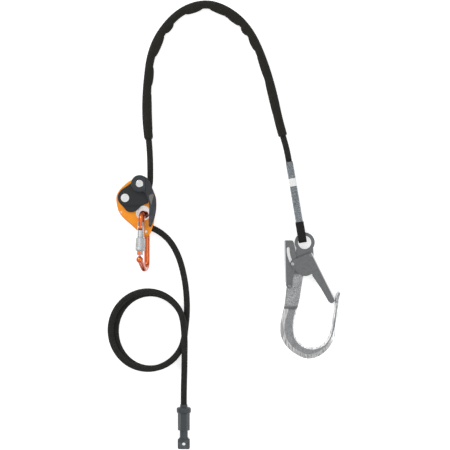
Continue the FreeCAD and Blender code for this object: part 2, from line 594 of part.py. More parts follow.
def carabiner_bar():
    """Round bar bent to a D, with a flat tongue at the gate's pin and a latch at the nose."""
    slope = math.tan(math.radians(GATE_SLOPE))
    far = CARABINER_LENGTH - CARABINER_BAR_RADIUS
    near_u = CARABINER_BAR_RADIUS
    corners = [
        (V(NOSE_U, GATE_PIN_V + (NOSE_U - GATE_PIN_U) * slope, 0), None),
        (V(far, 27.0, 0), 15.0),
        (V(far, CARABINER_BAR_RADIUS, 0), 13.0),
        (V(near_u, CARABINER_BAR_RADIUS, 0), 11.0),
        (V(near_u, GATE_PIN_V + (near_u - GATE_PIN_U) * slope, 0), 12.0),
        (V(GATE_PIN_U, GATE_PIN_V, 0), None),
    ]
    edges = []
    here = corners[0][0]
    for (before, _), (corner, radius), (after, _) in zip(corners, corners[1:], corners[2:]):
        back = before - corner
        ahead = after - corner
        half_turn = (math.pi - back.getAngle(ahead)) / 2
        back.normalize()
        ahead.normalize()
        inward = back + ahead
        inward.normalize()
        tangent = radius * math.tan(half_turn)
        rise = radius / math.cos(half_turn) - radius
        arc = [corner + back * tangent, corner + inward * rise, corner + ahead * tangent]
        edges.append(Part.LineSegment(here, arc[0]).toShape())
        edges.append(Part.Arc(*arc).toShape())
        here = arc[2]
    edges.append(Part.LineSegment(here, corners[-1][0]).toShape())
    bar = tube(edges, CARABINER_BAR_RADIUS)
    pin_boss = Part.makeCylinder(4.6, TONGUE_WIDTH, V(GATE_PIN_U, GATE_PIN_V, -TONGUE_WIDTH / 2))
    wide = 20.0
    flats = []
    for side in (-1, 1):
        low = TONGUE_WIDTH / 2 if side > 0 else -TONGUE_WIDTH / 2 - wide
        flats.append(on_gate(Part.makeBox(26.0, 2 * wide, wide, V(-12.2, -wide, low))))
    past_pin = on_gate(Part.makeBox(30.0, 30.0, 30.0, V(0.01, -15.0, -15.0)))
    for trim in flats + [past_pin]:
        bar = bar.cut(trim)
    bar = bar.fuse(pin_boss)
    bar = bar.cut(Part.makeCylinder(GATE_PIN_RADIUS, wide, V(GATE_PIN_U, GATE_PIN_V, -wide / 2)))

    nose_ball = on_gate(Part.makeSphere(6.3, V(57.6, 0, 0)))
    neck = on_gate(Part.makeBox(9.0, 7.0, NOSE_NECK_WIDTH, V(46.5, -3.5, -NOSE_NECK_WIDTH / 2)))
    head = on_gate(Part.makeBox(4.6, 7.0, NOSE_WIDTH, V(43.4, -3.5, -NOSE_WIDTH / 2)))
    return bar.fuse([nose_ball, neck, head]).removeSplitter()


def carabiner_pieces():
    """Carabiner body with the gate's pin, the gate with its spring and plunger, and the screw sleeve."""
    def rod(radius, start, end):
        return Part.makeCylinder(radius, end - start, V(start, 0, 0), V(1, 0, 0))

    slot = TONGUE_WIDTH + 2 * FACE_GAP
    nose_slot = NOSE_WIDTH + 2 * FACE_GAP
    gate = rod(GATE_RADIUS, -GATE_TAIL, GATE_REACH)
    gate = gate.cut([
        Part.makeBox(GATE_TAIL + 6.6, 20, slot, V(-GATE_TAIL - 1, -10, -slot / 2)),
        Part.makeBox(10.0, 20, nose_slot, V(42.6, -10, -nose_slot / 2)),
        rod(GATE_BORE_RADIUS, 5.0, 24.0),
        Part.makeCylinder(GATE_PIN_RADIUS + PIN_CLEARANCE, 40, V(0, 0, -20)),
    ])
    gate = gate.cut([ring_groove(17.0, 0.5)])
    pin = Part.makeCylinder(GATE_PIN_RADIUS, 2 * GATE_RADIUS - 1.2, V(0, 0, -GATE_RADIUS + 0.6))
    plunger = rod(GATE_BORE_RADIUS - PIN_CLEARANCE, 6.4, 12.0).fuse(Part.makeSphere(1.9, V(6.8, 0, 0)))
    coil = spring(V(0, 0, 0), 1.7, 0.8, 12.0, 23.8, 7)
    coil.rotate(V(0, 0, 0), V(0, 1, 0), 90)
    lock = rod(LOCK_RADIUS, LOCK_START, LOCK_START + LOCK_LENGTH)
    lock = lock.makeChamfer(0.8, [e for e in lock.Edges if isinstance(e.Curve, Part.Circle)])
    lock = lock.cut(rod(GATE_RADIUS + PIN_CLEARANCE, LOCK_START - 1, LOCK_START + LOCK_LENGTH + 1))
    band_start = LOCK_START + LOCK_LENGTH * 0.72
    waist = rod(LOCK_RADIUS + 2, band_start, band_start + 0.8)
    lock = lock.cut(waist.cut(rod(LOCK_RADIUS - 0.5, band_start - 1, band_start + 3)))
    parts = {"carabiner_body": carabiner_bar()}
    for name, shape in (("gate_pin", pin), ("carabiner_gate", gate), ("gate_plunger", plunger),
                        ("gate_spring", coil), ("lock_sleeve", lock)):
        parts[name] = on_gate(shape)
    return {name: stand_carabiner(shape) for name, shape in parts.items()}


def ring_groove(place, depth):
    """Ring to cut a shallow groove round the gate."""
    outer = Part.makeCylinder(GATE_RADIUS + 2, 0.8, V(place, 0, 0), V(1, 0, 0))
    return outer.cut(Part.makeCylinder(GATE_RADIUS - depth, 3, V(place - 1, 0, 0), V(1, 0, 0)))


# ---- hook -----------------------------------------------------------------------------------------
HOOK_OUTSIDE = [
    (-16.2, -20.0), (-18.2, -34.0), (-23.5, -52.0), (-30.6, -72.0), (-33.0, -84.0), (-35.6, -108.0),
    (-40.5, -130.0), (-44.6, -153.0), (-42.6, -168.0), (-34.4, -184.8), (-15.5, -201.0), (5.5, -208.8),
    (26.8, -203.4), (46.4, -185.0), (56.4, -158.4), (60.2, -121.3), (64.9, -93.4),
]
HOOK_NOSE = [(64.6, -90.0), (61.4, -87.4), (58.2, -89.6)]
HOOK_INSIDE = [
    (54.9, -98.2), (54.2, -112.0), (50.0, -137.5), (44.6, -164.7), (33.4, -182.2), (14.9, -189.2),
    (-4.4, -184.0), (-15.5, -171.6), (-19.0, -157.4), (-16.6, -131.0), (-10.8, -108.7), (-7.4, -90.9),
    (-2.6, -62.0), (2.2, -46.0), (6.0, -35.6), (10.6, -30.6), (15.0, -26.6), (15.8, -20.0),
]
HOOK_NECK = [(15.2, -9.0), (-15.0, -10.0)]
OUTSIDE_BEVEL = 8.0         # width of the bevel along the hook's outside
INSIDE_BEVEL = 2.6
NOSE_BEVEL = 2.0
BEVEL_DEPTH = 5.5


def drawn_in(offsets, before, after, widths):
    """Points of a curve moved to its left, each by its own width."""
    row = [before] + offsets + [after]
    moved = []
    for (x0, y0), (x1, y1), (x2, y2), width in zip(row, row[1:], row[2:], widths):
        run = math.hypot(x2 - x0, y2 - y0)
        moved.append((x1 - (y2 - y0) / run * width, y1 + (x2 - x0) / run * width))
    return moved


def hook_outline(outside, nose, inside, neck):
    """Face inside the hook's outside, nose, inside and neck curves."""
    return outline(HOOK_EYE, outside[0], outside[1:], nose, inside[0], inside[1:], *neck)


def hook_bevel_outline():
    """Outline of the hook's flat face, inside its bevels."""
    taper = [OUTSIDE_BEVEL] * (len(HOOK_OUTSIDE) - 4) + [6.4, 4.4, 2.8, NOSE_BEVEL]
    outside = drawn_in(HOOK_OUTSIDE, HOOK_NECK[-1], HOOK_NOSE[0], taper)
    nose = drawn_in(HOOK_NOSE, HOOK_OUTSIDE[-1], HOOK_INSIDE[0], [NOSE_BEVEL] * len(HOOK_NOSE))
    widths = [NOSE_BEVEL] + [INSIDE_BEVEL] * (len(HOOK_INSIDE) - 1)
    inside = drawn_in(HOOK_INSIDE, HOOK_NOSE[-1], HOOK_NECK[0], widths)
    return hook_outline(outside, nose, inside, HOOK_NECK)


def hook_layer(face, half):
    """A hook outline thickened evenly about the hook's middle."""
    return slab(face, HOOK_MIDDLE - half, HOOK_MIDDLE + half)


def hook_body():
    """Forged body: a thin shank with the eye, then a thick curve with bevelled sides."""
    face = hook_outline(HOOK_OUTSIDE, HOOK_NOSE, HOOK_INSIDE, HOOK_NECK)
    flat = hook_bevel_outline()
    thick = hook_layer(face, HOOK_THICKNESS / 2 - BEVEL_DEPTH)
    for side in (-1, 1):
        low = face.OuterWire.copy()
        low.translate(V(0, 0, HOOK_MIDDLE + side * (HOOK_THICKNESS / 2 - BEVEL_DEPTH)))
        high = flat.OuterWire.copy()
        high.translate(V(0, 0, HOOK_MIDDLE + side * HOOK_THICKNESS / 2))
        thick = thick.fuse(Part.makeLoft([low, high], True, True))
    step = HOOK_EYE.y - STEP_BELOW_EYE
    shank_side = Part.makeBox(90, 200, 60, V(HOOK_EYE.x - 60, step, -20))
    thick = thick.cut(shank_side)
    half = SHANK_THICKNESS / 2
    eye = disc(HOOK_EYE, HOOK_EYE_RIM, HOOK_MIDDLE - half, HOOK_MIDDLE + half)
    thin = hook_layer(face, half).common(shank_side).fuse(eye)
    shape = thick.fuse(thin).removeSplitter()
    return shape.cut([
        disc(HOOK_EYE, HOOK_EYE_RADIUS, -1, HOOK_THICKNESS + 1),
        disc(near(HOOK_EYE, GATE_PIVOT), HOOK_PIN_RADIUS, -1, HOOK_THICKNESS + 1),
        disc(near(HOOK_EYE, LEVER_PIVOT), HOOK_PIN_RADIUS, -1, HOOK_THICKNESS + 1),
    ])


GATE_OUTLINE = [
    (-22.6, -31.8), (8.6, -18.8), [(11.6, -18.4), (14.4, -20.8)], (53.9, -100.6),
    [(52.9, -106.2), (48.4, -109.0), (43.4, -106.4)],
    (30.0, -83.0), (14.6, -60.6), (14.4, -57.8), (12.2, -57.0),
    [(6.4, -59.4), (0.4, -60.6), (-7.2, -58.0), (-15.0, -52.2), (-23.6, -43.4), (-25.4, -38.0),
     (-22.6, -31.8)],
]


def drive_pin_path(steps):
    """Places of the gate's drive pin, seen from the safety lever, as the gate opens."""
    pivot = near(HOOK_EYE, GATE_PIVOT)
    lever_pivot = near(HOOK_EYE, LEVER_PIVOT)
    places = []
    for step in range(steps + 1):
        angle = LEVER_SLOT_TRAVEL * step / steps
        pin = turned(near(HOOK_EYE, DRIVE_PIN), pivot, -angle)
        places.append(turned(pin, lever_pivot, angle * LEVER_RATIO))
    return places


def hook_channel():
    """Gate: a channel of two cheeks that straddle the shank, joined by a toothed back."""
    face = outline(HOOK_EYE, *GATE_OUTLINE)
    web = outline(HOOK_EYE, (17.1, -27.0), (53.9, -100.6), [(52.9, -106.2), (48.4, -109.0), (46.4, -108.2)],
                  (50.6, -101.8), (15.6, -31.6))
    cheeks = []
    for side in (-1, 1):
        low = min(side * CHANNEL_INSIDE, side * CHANNEL_OUTSIDE) + HOOK_MIDDLE
        cheeks.append(slab(face, low, low + CHANNEL_THICKNESS))
    shape = cheeks[0].fuse([cheeks[1], hook_layer(web, CHANNEL_INSIDE + 0.2)]).removeSplitter()
    start = near(HOOK_EYE, (19.6, -31.2))
    end = near(HOOK_EYE, (53.0, -98.4))
    teeth = []
    count = 26
    for tooth in range(count + 1):
        place = start + (end - start) * (tooth / count)
        teeth.append(disc(place + V(0.35, 0.18, 0), 0.9, -1, HOOK_THICKNESS + 1))
    pivot = near(HOOK_EYE, GATE_PIVOT)
    pin = near(HOOK_EYE, DRIVE_PIN)
    return shape.cut(teeth + [disc(pivot, HOOK_PIN_RADIUS + PIN_CLEARANCE, -1, HOOK_THICKNESS + 1),
                              disc(pin, DRIVE_PIN_RADIUS, -1, HOOK_THICKNESS + 1)])


LEVER_OUTLINE = [
    (-36.0, 3.7), (-24.0, 3.7), [(-21.6, 3.0), (-20.0, 0.6)], [(-17.6, -8.6), (-15.8, -22.0), (-15.6, -37.0)],
    [(-18.4, -52.0), (-21.4, -66.0), (-22.2, -76.0), (-23.4, -80.4), (-27.2, -82.4), (-31.4, -80.6),
     (-33.4, -77.4)], (-35.0, -38.0),
]


def safety_lever():
    """Safety lever: a channel round the shank's back, slotted for the gate's drive pin."""
    face = outline(HOOK_EYE, *LEVER_OUTLINE)
    cheeks = []
    for side in (-1, 1):
        low = min(side * LEVER_INSIDE, side * LEVER_OUTSIDE) + HOOK_MIDDLE
        cheeks.append(slab(face, low, low + LEVER_THICKNESS))
    web = outline(HOOK_EYE, (-37.4, 3.7), (-35.2, 3.7), (-34.2, -38.0), (-33.0, -72.0), (-35.2, -72.0),
                  (-36.4, -38.0))
    shape = cheeks[0].fuse([cheeks[1], hook_layer(web, LEVER_OUTSIDE)]).removeSplitter()
    slot_radius = DRIVE_PIN_RADIUS + LEVER_SLOT_SLACK
    path = drive_pin_path(15)
    cuts = [disc(place, slot_radius, -1, HOOK_THICKNESS + 1) for place in path]
    for here, there in zip(path, path[1:]):
        along = there - here
        across = V(-along.y, along.x, 0)
        across.multiply(slot_radius / along.Length)
        corners = [here + across, there + across, there - across, here - across, here + across]
        cuts.append(slab(Part.Face(Part.makePolygon(corners)), -1, HOOK_THICKNESS + 1))
    cuts.append(disc(near(HOOK_EYE, LEVER_PIVOT), HOOK_PIN_RADIUS + PIN_CLEARANCE, -1, HOOK_THICKNESS + 1))
    return shape.cut(cuts)


def hook_rivet(offset, radius, reach):
    """Rivet through the hook with a domed head on each side."""
    centre = near(HOOK_EYE, offset)
    shape = riveted_bar(centre, radius, HOOK_MIDDLE - reach, HOOK_MIDDLE + reach, HOOK_HEAD_RADIUS,
                        HOOK_HEAD_HEIGHT)
    for level in (HOOK_MIDDLE - reach - HOOK_HEAD_HEIGHT, HOOK_MIDDLE + reach + HOOK_HEAD_HEIGHT):
        shape = rounded(shape, 0.7, level)
        shape = shape.cut(Part.makeSphere(1.3, V(centre.x, centre.y, level)))
    return shape


def hook_pieces():
    """Hook body with its gate, its safety lever, their rivets and springs."""
    lever_spring_place = near(HOOK_EYE, (-33.0, -57.0))
    lever_spring = spring(V(0, 0, 0), 1.7, 0.7, 0, 6.6, 4)
    lever_spring.rotate(V(0, 0, 0), V(0, 1, 0), 90)
    lever_spring.translate(lever_spring_place + V(0, 0, HOOK_MIDDLE))
    pocket = Part.makeCylinder(2.4, 7.0, lever_spring_place + V(2.6, 0, HOOK_MIDDLE), V(1, 0, 0))
    half = SHANK_THICKNESS / 2
    return {
        "hook_body": hook_body().cut(pocket),
        "hook_gate": hook_channel(),
        "gate_drive_pin": hook_rivet(DRIVE_PIN, DRIVE_PIN_RADIUS, CHANNEL_OUTSIDE),
        "safety_lever": safety_lever(),
        "gate_pivot_rivet": hook_rivet(GATE_PIVOT, HOOK_PIN_RADIUS, CHANNEL_OUTSIDE),
        "lever_rivet": hook_rivet(LEVER_PIVOT, HOOK_PIN_RADIUS, LEVER_OUTSIDE),
        "hook_gate_spring": spring(near(HOOK_EYE, GATE_PIVOT), 3.9, 0.8, HOOK_MIDDLE + half + 0.1,
                                   HOOK_MIDDLE + CHANNEL_INSIDE - 0.1, 2),
        "lever_spring": lever_spring,
    }


# ---- the whole lanyard ----------------------------------------------------------------------------
def main():
    """Build every piece and write one file for each."""
    os.makedirs("parts", exist_ok=True)
    groups = [rope_pieces(), grab_frame(), brake_pieces(), handle_pieces(), carabiner_pieces(), hook_pieces()]
    for pieces in groups:
        for name, shape in pieces.items():
            if not shape.isValid():
                raise RuntimeError(f"{name} is not a valid shape")
            shape.exportStep(f"parts/{name}.step")


main()
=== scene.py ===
"""Looks of a rope grab lanyard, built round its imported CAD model.

The metal, moulded and sewn parts keep their CAD shapes and get procedural finishes. The rope and
its sleeve are built here as swept meshes. Lengths are in metres, in the frame of the CAD.
"""

import json
import logging
import math
from dataclasses import dataclass
from enum import Enum
from typing import Callable, Union

import bpy
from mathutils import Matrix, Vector

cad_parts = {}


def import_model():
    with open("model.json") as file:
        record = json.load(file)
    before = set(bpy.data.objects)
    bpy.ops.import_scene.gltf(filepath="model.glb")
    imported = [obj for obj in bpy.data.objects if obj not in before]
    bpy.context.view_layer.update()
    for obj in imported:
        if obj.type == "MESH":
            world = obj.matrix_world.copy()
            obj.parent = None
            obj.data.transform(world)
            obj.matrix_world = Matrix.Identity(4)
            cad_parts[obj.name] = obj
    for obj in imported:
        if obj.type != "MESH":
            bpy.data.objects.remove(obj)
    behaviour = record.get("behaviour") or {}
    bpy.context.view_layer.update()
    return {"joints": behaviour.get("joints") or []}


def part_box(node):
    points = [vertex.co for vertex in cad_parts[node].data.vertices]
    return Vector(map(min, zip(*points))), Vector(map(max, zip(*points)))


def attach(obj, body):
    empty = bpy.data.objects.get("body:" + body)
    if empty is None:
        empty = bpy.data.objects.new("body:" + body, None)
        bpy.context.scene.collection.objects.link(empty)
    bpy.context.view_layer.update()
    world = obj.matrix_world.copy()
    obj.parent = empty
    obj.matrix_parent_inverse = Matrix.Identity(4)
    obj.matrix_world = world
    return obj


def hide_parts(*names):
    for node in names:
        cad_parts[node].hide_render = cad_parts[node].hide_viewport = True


log = logging.getLogger("rope_grab_lanyard")

MM = 0.001
TURN = 2 * math.pi


# ---- node graphs ---------------------------------------------------------------------------------
class Socket:
    """Output of a shader node, with operators that make Math nodes."""

    def __init__(self, graph: "Graph", output: bpy.types.NodeSocket) -> None:
        """Wraps an output of a node in a graph."""
        self.graph = graph
        self.output = output

    def math(self, operation: str, *others: "Value") -> "Socket":
        """One Math node.

        Args:
            operation: Blender's name of the operation.
            others: the values after this one.

        Returns:
            The node's output.
        """
        inputs = dict(enumerate((self, *others)))
        return self.graph.node("ShaderNodeMath", inputs, operation=operation)

    def after(self, operation: str, first: "Value") -> "Socket":
        """One Math node with this value second."""
        return self.graph.node("ShaderNodeMath", {0: first, 1: self}, operation=operation)

    def __add__(self, other: "Value") -> "Socket":
        """Sum."""
        return self.math("ADD", other)

    def __radd__(self, other: "Value") -> "Socket":
        """Sum, with this value second."""
        return self.after("ADD", other)

    def __sub__(self, other: "Value") -> "Socket":
        """Difference."""
        return self.math("SUBTRACT", other)

    def __rsub__(self, other: "Value") -> "Socket":
        """Difference, with this value taken away."""
        return self.after("SUBTRACT", other)

    def __mul__(self, other: "Value") -> "Socket":
        """Product."""
        return self.math("MULTIPLY", other)

    def __rmul__(self, other: "Value") -> "Socket":
        """Product, with this value second."""
        return self.after("MULTIPLY", other)

    def __truediv__(self, other: "Value") -> "Socket":
        """Quotient."""
        return self.math("DIVIDE", other)

    def __mod__(self, other: "Value") -> "Socket":
        """Remainder, never below 0."""
        return self.math("FLOORED_MODULO", other)

    def part(self, output: Union[int, str]) -> "Socket":
        """Another output of the same node."""
        return Socket(self.graph, self.output.node.outputs[output])

    def span(self, low: float, high: float) -> "Socket":
        """0 at low and below, 1 at high and above, smooth between them."""
        settings = {"interpolation_type": "SMOOTHSTEP"}
        return self.graph.node("ShaderNodeMapRange", {"Value": self, 1: low, 2: high}, **settings)


Value = Union[float, tuple, Socket]
Colour = tuple[float, float, float]


def srgb(red: int, green: int, blue: int) -> Colour:
    """Linear colour of an 8-bit screen colour.

    Args:
        red: red, 0 to 255.
        green: green, 0 to 255.
        blue: blue, 0 to 255.

    Returns:
        The three linear values.
    """
    shares = (red / 255, green / 255, blue / 255)
    return tuple(((x + 0.055) / 1.055) ** 2.4 if x > 0.04 else x / 12.92 for x in shares)


class Graph:
    """Node tree of one material, ending in one Principled surface."""

    def __init__(self, name: str) -> None:
        """Makes an empty material with the given name."""
        self.material = bpy.data.materials.new(name)
        self.material.use_nodes = True
        self.tree = self.material.node_tree
        self.tree.nodes.clear()

    def node(self, kind: str, inputs: dict, **settings: object) -> Socket:
        """Makes one node: its type, then its settings, then its inputs.

        Args:
            kind: the node's class name.
            inputs: values or sockets, by the input's name or index.
            settings: the node's own properties.

        Returns:
            The node's first output.
        """
        made = self.tree.nodes.new(kind)
        for name, setting in settings.items():
            setattr(made, name, setting)
        for key, value in inputs.items():
            if isinstance(value, Socket):
                self.tree.links.new(value.output, made.inputs[key])
            elif isinstance(value, tuple) and made.inputs[key].type == "RGBA":
                made.inputs[key].default_value = (*value, 1.0)
            else:
                made.inputs[key].default_value = value
        return Socket(self, next((o for o in made.outputs if o.enabled), None))

    def place(self) -> Socket:
        """The point on the part, in metres."""
        return self.node("ShaderNodeTexCoord", {}).part("Object")

    def stretched(self, sizes: Colour) -> Socket:
        """The point on the part, with each axis divided by a size in metres."""
        inputs = {0: self.place(), 1: sizes}
        return self.node("ShaderNodeVectorMath", inputs, operation="DIVIDE")

    def noise(self, sizes: Colour, detail: float = 2.0) -> Socket:
        """Noise from about 0.3 to 0.7 with a grain of the given size on each axis."""
        inputs = {"Vector": self.stretched(sizes), "Scale": 1.0, "Detail": detail}
        return self.node("ShaderNodeTexNoise", inputs)

    def blend(self, share: Value, first: Value, second: Value) -> Socket:
        """First colour at share 0, second at share 1."""
        inputs = {0: share, 6: first, 7: second}
        return self.node("ShaderNodeMix", inputs, data_type="RGBA").part(2)

    def facing(self) -> Socket:
        """Height of the surface's direction: 1 where it faces up, 0 where it is upright."""
        normal = self.node("ShaderNodeNewGeometry", {}).part("Normal")
        split = self.node("ShaderNodeSeparateXYZ", {0: normal})
        return split.part(2)

    def bump(self, height: Socket, distance: float, strength: float = 1.0) -> Socket:
        """Bump from a height of 0 to 1 that stands for a distance in metres."""
        inputs = {"Height": height, "Distance": distance, "Strength": strength}
        return self.node("ShaderNodeBump", inputs)

    def finish(self, **inputs: Value) -> bpy.types.Material:
        """Ends the tree in a Principled surface.

        Args:
            inputs: the surface's inputs, with underscores for spaces.

        Returns:
            The material.
        """
        named = {name.replace("_", " "): value for name, value in inputs.items()}
        surface = self.node("ShaderNodeBsdfPrincipled", named)
        self.node("ShaderNodeOutputMaterial", {"Surface": surface})
        return self.material


# ---- finishes ------------------------------------------------------------------------------------
@dataclass(frozen=True)
class Anodised:
    """Dyed aluminium with painted light: paler on flat faces that face up and deeper on edges and sides,
    as painted shade.
    """

    name: str
    # face is the colour as lit on flat, upward faces; side is painted shade for edges and sides.
    face: Colour
    side: Colour
    roughness: float
    coat: float
    grain: float = 0.25 * MM

    def material(self) -> bpy.types.Material:
        """Builds the material."""
        graph = Graph(self.name)
        cloud = graph.noise((14 * MM, 14 * MM, 14 * MM))
        fine = graph.noise((self.grain, self.grain, self.grain), 1.0)
        # Painted light: upward faces get the paler face colour, edges and sides the deeper side colour as
        # painted shade.
        flat = graph.facing().span(0.25, 0.95)
        colour = graph.blend(flat, self.side, self.face)
        colour = graph.blend(cloud.span(0.35, 0.75) * 0.18, colour, self.side)
        rough = fine * 0.1 + cloud * 0.08 + (self.roughness - 0.09)
        return graph.finish(
            Base_Color=colour, Metallic=0.72, Roughness=rough, Coat_Weight=self.coat,
            Coat_Roughness=0.12, Normal=graph.bump(fine, 0.01 * MM, 0.3),
        )


@dataclass(frozen=True)
class Satin:
    """Black coat or moulding with a fine grain and worn, paler edges."""

    name: str
    colour: Colour
    worn: Colour
    roughness: float
    grain: float
    metallic: float = 0.0
    relief: float = 0.02 * MM
    shine: float = 0.3
    swell: float = 0.25 * MM
    coat: float = 0.0

    def material(self) -> bpy.types.Material:
        """Builds the material."""
        graph = Graph(self.name)
        fine = graph.noise((self.grain, self.grain, self.grain), 3.0)
        cloud = graph.noise((9 * MM, 9 * MM, 9 * MM))
        pointed = graph.node("ShaderNodeNewGeometry", {}).part("Pointiness")
        wear = pointed.span(0.53, 0.62) * cloud.span(0.35, 0.6)
        shade = graph.blend(fine * 0.25, self.colour, self.worn)
        colour = graph.blend(wear * 0.55, shade, self.worn)
        rough = fine * 0.16 + cloud * 0.1 + (self.roughness - 0.13)
        return graph.finish(
            Base_Color=colour, Metallic=self.metallic, Roughness=rough, Specular_IOR_Level=self.shine,
            Coat_Weight=self.coat, Coat_Roughness=0.22,
            Normal=graph.bump(fine + cloud * (self.swell / self.relief), self.relief, 0.6),
        )


@dataclass(frozen=True)
class Bright:
    """Turned or polished bare metal with fine rings about an upright axis, and painted shade on its sloped
    and upright walls.
    """

    name: str
    colour: Colour
    roughness: float
    centre: tuple[float, float]
    shaded_wall: Colour
    flat_from: float = 0.2
    ring_pitch: float = 0.35 * MM

    def material(self) -> bpy.types.Material:
        """Builds the material."""
        graph = Graph(self.name)
        away = graph.node(
            "ShaderNodeVectorMath", {0: graph.place(), 1: (*self.centre, 0.0)}, operation="SUBTRACT"
        )
        level = graph.node("ShaderNodeVectorMath", {0: away, 1: (1.0, 1.0, 0.0)}, operation="MULTIPLY")
        reach = graph.node("ShaderNodeVectorMath", {0: level}, operation="LENGTH").part("Value")
        rings = (reach * (TURN / self.ring_pitch)).math("SINE") * 0.5 + 0.5
        cloud = graph.noise((3 * MM, 3 * MM, 3 * MM), 3.0)
        colour = graph.blend(cloud.span(0.35, 0.7) * 0.2, self.colour, srgb(120, 122, 126))
        # Painted shade: faces that slope or stand upright get the darker wall colour instead of the
        # metal's own.
        flat = graph.facing().math("ABSOLUTE").span(self.flat_from, self.flat_from + 0.2)
        colour = graph.blend(flat, self.shaded_wall, colour)
        rough = cloud * 0.14 + rings * 0.04 + (self.roughness - 0.09)
        return graph.finish(
            Base_Color=colour, Metallic=1.0, Roughness=rough, Normal=graph.bump(rings, 0.006 * MM, 0.35),
        )


@dataclass(frozen=True)
class Edge:
    """A line along a plate, seen from above, where its bent back gets a painted highlight."""

    start: tuple[float, float]
    end: tuple[float, float]
    width: float

    def share(self, graph: Graph) -> Socket:
        """1 on the line's painted highlight, 0 away from it."""
        run = (Vector(self.end) - Vector(self.start)).normalized()
        inputs = {0: graph.place(), 1: (*self.start, 0.0)}
        away = graph.node("ShaderNodeVectorMath", inputs, operation="SUBTRACT")
        inputs = {0: away, 1: (run.y, -run.x, 0.0)}
        reach = graph.node("ShaderNodeVectorMath", inputs, operation="DOT_PRODUCT").part("Value")
        return (reach.math("ABSOLUTE") / self.width).span(1.2, 0.8)


@dataclass(frozen=True)
class Wire:
    """Drawn spring wire or zinc-plated plate with a fine speckle."""

    name: str
    colour: Colour
    dark: Colour
    roughness: float
    # Colour of the painted highlight along a bent edge.
    edge_highlight: Colour = srgb(226, 227, 229)
    grain: float = 0.5 * MM

    def material(self, edge: Edge | None = None) -> bpy.types.Material:
        """Builds the material.

        Args:
            edge: where a painted highlight runs along the metal, if anywhere.

        Returns:
            The material.
        """
        graph = Graph(self.name)
        speckle = graph.noise((self.grain, self.grain, self.grain), 4.0)
        cloud = graph.noise((6 * MM, 6 * MM, 6 * MM))
        colour = graph.blend(speckle.span(0.35, 0.68), self.dark, self.colour)
        colour = graph.blend(cloud.span(0.4, 0.7) * 0.25, colour, self.dark)
        # Painted highlight: a bright line along the bent back of the gate or lever.
        if edge is not None:
            edge_highlight = edge.share(graph) * (speckle * 0.3 + 0.8)
            colour = graph.blend(edge_highlight, colour, self.edge_highlight)
        return graph.finish(
            Base_Color=colour, Metallic=0.7, Roughness=speckle * 0.2 + (self.roughness - 0.1),
            Normal=graph.bump(speckle, 0.02 * MM, 0.4),
        )


@dataclass(frozen=True)
class Forged:
    """Forged aluminium: matt shot-blasted flats, a rougher marked shank, polished rims, and painted shade
    on upright walls.

    The levels are places along Y: the shank lies between its top and the step to the thick curve.
    """

    name: str
    blasted: Colour
    pitted: Colour
    neck: Colour
    rim: Colour
    shaded_wall: Colour
    shank_top: float
    step: float

    def material(self) -> bpy.types.Material:
        """Builds the material."""
        graph = Graph(self.name)
        slope = graph.facing().math("ABSOLUTE")
        flat = slope.span(0.93, 0.985)
        along = graph.node("ShaderNodeSeparateXYZ", {0: graph.place()}).part(1)
        above = along.span(self.shank_top - 3 * MM, self.shank_top + 1 * MM)
        shank = (1 - above) * along.span(self.step + 2 * MM, self.step + 6 * MM)
        beyond = along.span(self.step + 3 * MM, self.step + 7 * MM)
        band = along.span(self.step - 4 * MM, self.step) * (1 - beyond)
        speckle = graph.noise((0.9 * MM, 0.9 * MM, 0.9 * MM), 3.0)
        marks = graph.noise((1.2 * MM, 1.7 * MM, 4 * MM), 4.0).span(0.5, 0.66)
        cloud = graph.noise((11 * MM, 11 * MM, 11 * MM))
        streak = graph.noise((0.9 * MM, 22 * MM, 6 * MM), 3.0)
        face = graph.blend(speckle.span(0.36, 0.64), self.pitted, self.blasted)
        face = graph.blend(marks * shank * 0.6, face, self.rim)
        face = graph.blend(above, face, self.neck)
        face = graph.blend(band * 0.65 + cloud.span(0.35, 0.7) * 0.25, face, self.neck)
        polished = graph.blend(streak.span(0.44, 0.58) * 0.7, self.rim, self.neck)
        # Painted shade: steep and upright walls get the darker wall colour.
        polished = graph.blend(slope.span(0.1, 0.4), self.shaded_wall, polished)
        rough = flat * (speckle * 0.2 + 0.16) + streak * 0.1 + 0.18
        return graph.finish(
            Base_Color=graph.blend(flat, polished, face), Metallic=flat * 0.35 + 0.45, Roughness=rough,
            Normal=graph.bump(speckle * flat + marks * shank * 0.5 + streak * 0.2, 0.05 * MM, 0.5),
        )


@dataclass(frozen=True)
class Knurled:
    """Bead-blasted aluminium sleeve with a diamond knurl round a leaning axis."""

    name: str
    colour: Colour
    groove: Colour
    axis_point: Vector
    axis: Vector
    pitch: float = 1.0 * MM
    ridges: int = 36

    def material(self) -> bpy.types.Material:
        """Builds the material."""
        graph = Graph(self.name)
        side = self.axis.cross(Vector((0, 0, 1))).normalized()
        top = side.cross(self.axis)
        away = graph.node(
            "ShaderNodeVectorMath", {0: graph.place(), 1: tuple(self.axis_point)}, operation="SUBTRACT"
        )
        along, across, up = (self.reach(graph, away, line) for line in (self.axis, side, top))
        angle = up.math("ARCTAN2", across) * (self.ridges / TURN)
        lift = along / self.pitch
        first = ((angle + lift) % 1.0 - 0.5).math("ABSOLUTE") * 2
        second = ((angle - lift) % 1.0 - 0.5).math("ABSOLUTE") * 2
        height = first.math("MINIMUM", second).span(0.05, 0.6)
        fine = graph.noise((0.3 * MM, 0.3 * MM, 0.3 * MM))
        return graph.finish(
            Base_Color=graph.blend(height, self.groove, self.colour), Metallic=0.75,
            Roughness=fine * 0.1 + 0.34, Normal=graph.bump(height, 0.12 * MM, 0.6),
        )

    @staticmethod
    def reach(graph: Graph, away: Socket, line: Vector) -> Socket:
        """Distance of a point along a line."""
        inputs = {0: away, 1: tuple(line)}
        return graph.node("ShaderNodeVectorMath", inputs, operation="DOT_PRODUCT").part("Value")


class Weave(Enum):
    """How the yarns of a tube are laid."""

    BRAID = "braid"
    PLAIN = "plain"


